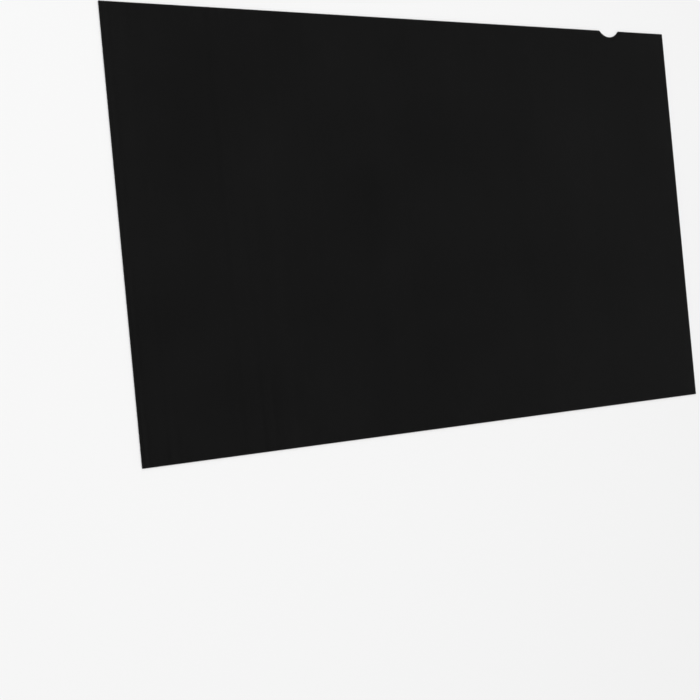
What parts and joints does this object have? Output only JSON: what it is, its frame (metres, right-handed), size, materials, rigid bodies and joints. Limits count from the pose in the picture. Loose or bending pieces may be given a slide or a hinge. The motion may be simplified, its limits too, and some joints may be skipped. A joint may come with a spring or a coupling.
{
  "type": "monitor privacy filter",
  "caption": "Flat dark see-through sheet that hangs in front of a monitor and blacks it out from the side, with square corners and a shallow curved finger notch near one end of its top edge.",
  "frame": {"origin": "middle of the rear face, on the surface that the sheet lies on", "axes": "+X along the long side, +Y towards the notched top edge, +Z out of the front face"},
  "size_m": [0.531, 0.299, 0.0005],
  "materials": {
    "louvre_film": "matte"
  },
  "bodies": {
    "root": {"filter_sheet": "louvre_film"}
  },
  "joints": []
}
